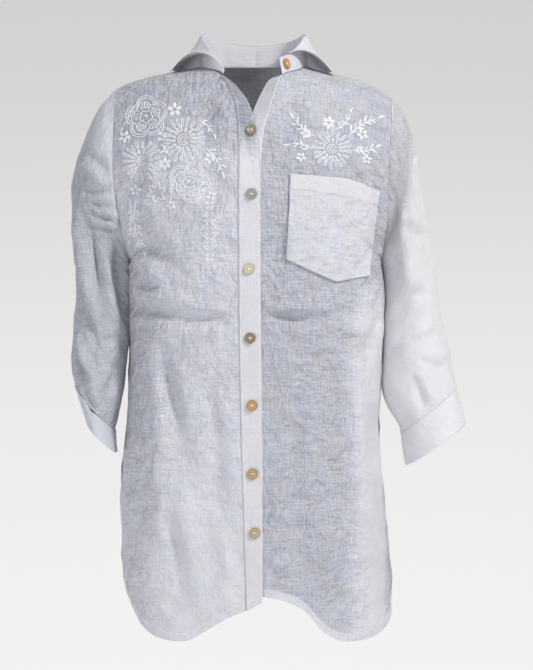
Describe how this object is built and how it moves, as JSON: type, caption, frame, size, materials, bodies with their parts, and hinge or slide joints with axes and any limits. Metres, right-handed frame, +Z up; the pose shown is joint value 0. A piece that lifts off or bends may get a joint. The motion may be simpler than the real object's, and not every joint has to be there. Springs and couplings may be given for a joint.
{
  "type": "blouse",
  "caption": "Long linen blouse with a turned-down collar, button band, patch pocket, three-quarter sleeves and a curved hem, filled out as worn, open at neck, cuffs and hem.",
  "frame": {"origin": "the middle of the neck's base, where the wearer's neck and shoulders hold the blouse", "axes": "+Z up, the front faces -Y, the wearer's left is +X"},
  "size_m": [0.5488, 0.2266, 0.8345],
  "materials": {
    "linen": "open plain-weave white linen, slubbed and slightly see-through",
    "linen_double": "the same linen in two layers, whiter and more opaque",
    "shell_button": "polished natural shell, each button a little different in tint",
    "embroidery_thread": "white cotton thread with a soft lustre"
  },
  "bodies": {
    "root": {"front_right": "linen", "front_left": "linen", "back": "linen", "sleeve_right": "linen", "sleeve_left": "linen", "cuff_right": "linen_double", "cuff_left": "linen_double", "placket_right": "linen_double", "placket_left": "linen_double", "collar_stand": "linen_double", "collar_leaf": "linen_double", "pocket": "linen_double", "button_1": "shell_button", "button_2": "shell_button", "button_3": "shell_button", "button_4": "shell_button", "button_5": "shell_button", "button_6": "shell_button", "button_7": "shell_button", "button_collar": "shell_button"}
  },
  "joints": []
}
